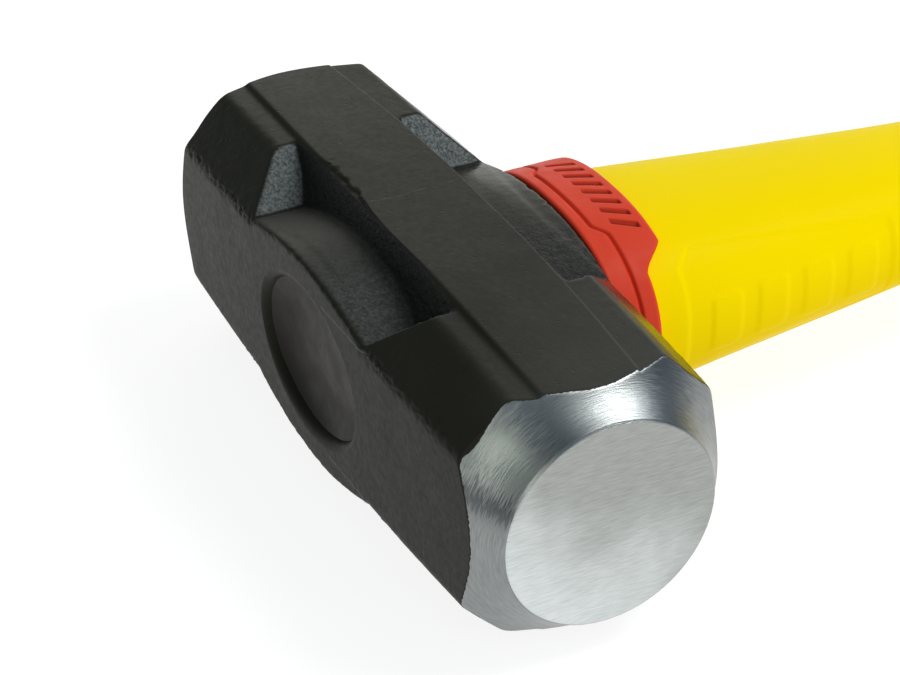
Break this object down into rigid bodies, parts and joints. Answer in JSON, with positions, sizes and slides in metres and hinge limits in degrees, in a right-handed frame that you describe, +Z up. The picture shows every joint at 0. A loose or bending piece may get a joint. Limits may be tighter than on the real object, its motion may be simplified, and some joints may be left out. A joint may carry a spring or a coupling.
{
  "type": "sledgehammer",
  "caption": "Double-faced sledgehammer with a forged octagonal head, ground striking faces, a fibreglass-cored jacketed handle and an overstrike collar.",
  "frame": {"origin": "middle of the flat rest face on the lower cheek, under the middle of the eye", "axes": "X from striking face to striking face, +Y from the head along the handle to the butt, +Z up, out of the upper cheek as the hammer lies"},
  "size_m": [0.168, 0.8998, 0.064],
  "materials": {
    "forged_head": "forged steel, satin black paint, striking faces ground bright",
    "bonding_resin": "cast epoxy, painted over with the head",
    "seal_rubber": "matt black rubber",
    "fibreglass": "pultruded glass fibre rod",
    "handle_plastic": "moulded yellow polypropylene, semi-gloss",
    "collar_elastomer": "moulded red elastomer, satin",
    "grip_elastomer": "moulded red elastomer, fine texture",
    "cap_elastomer": "moulded red elastomer, satin"
  },
  "bodies": {
    "root": {"hammer_head": "forged_head", "eye_resin": "bonding_resin", "eye_seal": "seal_rubber", "fibreglass_core": "fibreglass", "handle_jacket": "handle_plastic", "strike_collar": "collar_elastomer", "grip_sleeve": "grip_elastomer", "butt_cap": "cap_elastomer"}
  },
  "joints": []
}
